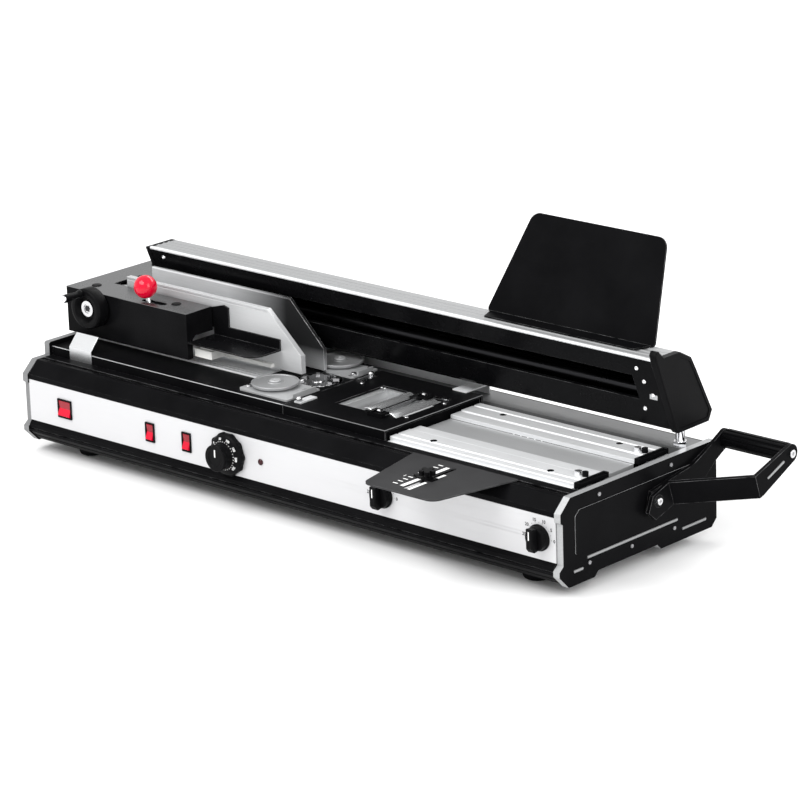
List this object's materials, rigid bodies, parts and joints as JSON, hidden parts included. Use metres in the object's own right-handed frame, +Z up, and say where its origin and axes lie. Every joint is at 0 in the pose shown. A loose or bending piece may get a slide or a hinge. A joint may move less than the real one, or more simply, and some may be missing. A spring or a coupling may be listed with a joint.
{
  "type": "hot melt binding machine",
  "caption": "Desktop hot melt binding machine with a sliding clamp, glue rollers, nipping jaws, a guide beam and a side press lever.",
  "frame": {"origin": "point of the table under the middle of the bounding box", "axes": "+X along the machine from the clamp to the press lever, +Y from the control panel to the rear wall, +Z up"},
  "size_m": [1.0738, 0.4212, 0.3855],
  "materials": {
    "black_paint": "satin powder coat",
    "bare_aluminium": "fine brushed, anodised",
    "silver_panel": "bright satin",
    "ground_steel": "ground",
    "dark_steel": "blackened, oiled",
    "chrome": "polished",
    "black_plastic": "moulded",
    "red_plastic": "gloss",
    "rubber": "matt",
    "white_nylon": "moulded"
  },
  "bodies": {
    "base": {"left_end_plate": "black_paint", "right_end_plate": "black_paint", "front_lower_rail": "black_paint", "front_upper_rail": "black_paint", "rear_rail": "bare_aluminium", "base_tray": "black_paint", "front_panel": "silver_panel", "power_inlet": "black_plastic", "feet": "rubber", "deck_cover": "black_paint", "glue_cover": "black_paint", "alignment_plate": "bare_aluminium", "splash_wall": "bare_aluminium", "stop_bracket": "bare_aluminium", "drive_motors": "ground_steel", "glue_pot": "bare_aluminium", "doctor_blade": "ground_steel", "nip_platform": "bare_aluminium", "gauge_plate": "black_paint", "guide_beam": "black_paint", "beam_top_cover": "bare_aluminium", "beam_end_caps": "black_plastic", "beam_posts": "chrome", "guide_shaft": "dark_steel", "support_board": "black_paint", "rocker_bezels": "black_plastic", "indicator_lamp": "red_plastic", "body_screws": "ground_steel"},
    "trolley": {"trolley_housing": "black_paint", "trolley_guides": "ground_steel", "rear_jaw": "bare_aluminium"},
    "clamp_jaw": {"front_jaw": "bare_aluminium", "jaw_ledge": "black_paint", "jaw_pad": "white_nylon"},
    "wheel": {"clamp_screw": "ground_steel", "handwheel": "black_plastic"},
    "crank": {"crank_handle": "black_plastic"},
    "quick_lever": {"clamp_lever": "ground_steel", "lever_ball": "red_plastic"},
    "main_switch": {"main_rocker": "red_plastic"},
    "roller_switch": {"roller_rocker": "red_plastic"},
    "cutter_switch": {"cutter_rocker": "red_plastic"},
    "thermostat": {"thermostat_knob": "black_plastic"},
    "left_timer": {"left_timer_knob": "black_plastic"},
    "right_timer": {"right_timer_knob": "black_plastic"},
    "pointer": {"gauge_pointer": "black_plastic"},
    "front_slide": {"front_disc_slide": "bare_aluminium"},
    "rear_slide": {"rear_disc_slide": "bare_aluminium"},
    "front_wheel": {"front_disc": "ground_steel"},
    "rear_wheel": {"rear_disc": "ground_steel"},
    "cutter": {"spine_cutter": "ground_steel"},
    "left_roller": {"left_glue_roller": "ground_steel"},
    "right_roller": {"right_glue_roller": "ground_steel"},
    "front_nip": {"nip_front_jaw": "bare_aluminium", "nip_front_fittings": "black_plastic"},
    "rear_nip": {"nip_rear_jaw": "bare_aluminium", "nip_rear_fittings": "black_plastic"},
    "press": {"press_shaft": "ground_steel", "press_lever": "black_paint", "press_grip": "black_plastic"}
  },
  "joints": [
    {"name": "trolley_slide", "type": "slide", "parent": "base", "child": "trolley", "axis": [1, 0, 0], "range_m": [0, 0.552]},
    {"name": "jaw_close", "type": "slide", "parent": "trolley", "child": "clamp_jaw", "axis": [0, 1, 0], "range_m": [0, 0.032]},
    {"name": "handwheel_turn", "type": "hinge", "parent": "trolley", "child": "wheel", "pos_m": [-0.47555, -0.02756, 0.196], "axis": [0, 1, 0], "range_deg": [0, 2880]},
    {"name": "crank_spin", "type": "hinge", "parent": "wheel", "child": "crank", "pos_m": [-0.4805, -0.05756, 0.21744], "axis": [0, 1, 0], "continuous": true},
    {"name": "quick_lever_turn", "type": "hinge", "parent": "trolley", "child": "quick_lever", "pos_m": [-0.37655, -0.01156, 0.164], "axis": [0, 1, 0], "range_deg": [0, 26]},
    {"name": "main_switch_rock", "type": "hinge", "parent": "base", "child": "main_switch", "pos_m": [-0.45505, -0.11106, 0.0745], "axis": [1, 0, 0], "range_deg": [0, 18]},
    {"name": "roller_switch_rock", "type": "hinge", "parent": "base", "child": "roller_switch", "pos_m": [-0.28905, -0.11106, 0.0745], "axis": [1, 0, 0], "range_deg": [0, 18]},
    {"name": "cutter_switch_rock", "type": "hinge", "parent": "base", "child": "cutter_switch", "pos_m": [-0.22005, -0.11106, 0.0745], "axis": [1, 0, 0], "range_deg": [0, 18]},
    {"name": "thermostat_turn", "type": "hinge", "parent": "base", "child": "thermostat", "pos_m": [-0.14155, -0.11306, 0.0745], "axis": [0, 1, 0], "range_deg": [0, 300]},
    {"name": "left_timer_turn", "type": "hinge", "parent": "base", "child": "left_timer", "pos_m": [0.13045, -0.11306, 0.0745], "axis": [0, 1, 0], "range_deg": [0, 270]},
    {"name": "right_timer_turn", "type": "hinge", "parent": "base", "child": "right_timer", "pos_m": [0.38845, -0.11306, 0.0745], "axis": [0, 1, 0], "range_deg": [0, 270]},
    {"name": "pointer_slide", "type": "slide", "parent": "base", "child": "pointer", "axis": [0, 1, 0], "range_m": [-0.032, 0.041]},
    {"name": "front_disc_slide_travel", "type": "slide", "parent": "base", "child": "front_slide", "axis": [0, -1, 0], "range_m": [0, 0.01], "stiffness_N_per_m": 120, "springref_m": -0.004},
    {"name": "rear_disc_slide_travel", "type": "slide", "parent": "base", "child": "rear_slide", "axis": [0, 1, 0], "range_m": [0, 0.008], "stiffness_N_per_m": 120, "springref_m": -0.004},
    {"name": "front_disc_spin", "type": "hinge", "parent": "front_slide", "child": "front_wheel", "pos_m": [-0.14555, -0.01906, 0.145], "axis": [0, 0, 1], "continuous": true},
    {"name": "rear_disc_spin", "type": "hinge", "parent": "rear_slide", "child": "rear_wheel", "pos_m": [-0.14555, 0.10504, 0.145], "axis": [0, 0, 1], "continuous": true},
    {"name": "cutter_spin", "type": "hinge", "parent": "base", "child": "cutter", "pos_m": [-0.12255, 0.03844, 0.14], "axis": [0, 0, 1], "continuous": true},
    {"name": "left_roller_spin", "type": "hinge", "parent": "base", "child": "left_roller", "pos_m": [0.01545, -0.01906, 0.1277], "axis": [0, 1, 0], "continuous": true},
    {"name": "right_roller_spin", "type": "hinge", "parent": "base", "child": "right_roller", "pos_m": [0.05345, -0.01906, 0.1277], "axis": [0, 1, 0], "continuous": true},
    {"name": "press_lever_turn", "type": "hinge", "parent": "base", "child": "press", "pos_m": [0.43145, 0.05794, 0.0838], "axis": [1, 0, 0], "range_deg": [0, 60]},
    {"name": "front_nip_slide", "type": "slide", "parent": "base", "child": "front_nip", "axis": [0, 1, 0], "range_m": [0, 0.022]},
    {"name": "rear_nip_slide", "type": "slide", "parent": "base", "child": "rear_nip", "axis": [0, -1, 0], "range_m": [0, 0.022]}
  ],
  "couplings": [
    {"joint": "handwheel_turn", "follows": "jaw_close", "rad_per_m": 1570.8},
    {"joint": "front_nip_slide", "follows": "press_lever_turn", "m_per_rad": 0.021006},
    {"joint": "rear_nip_slide", "follows": "press_lever_turn", "m_per_rad": 0.021006},
    {"joint": "right_roller_spin", "follows": "left_roller_spin", "ratio": 1}
  ]
}
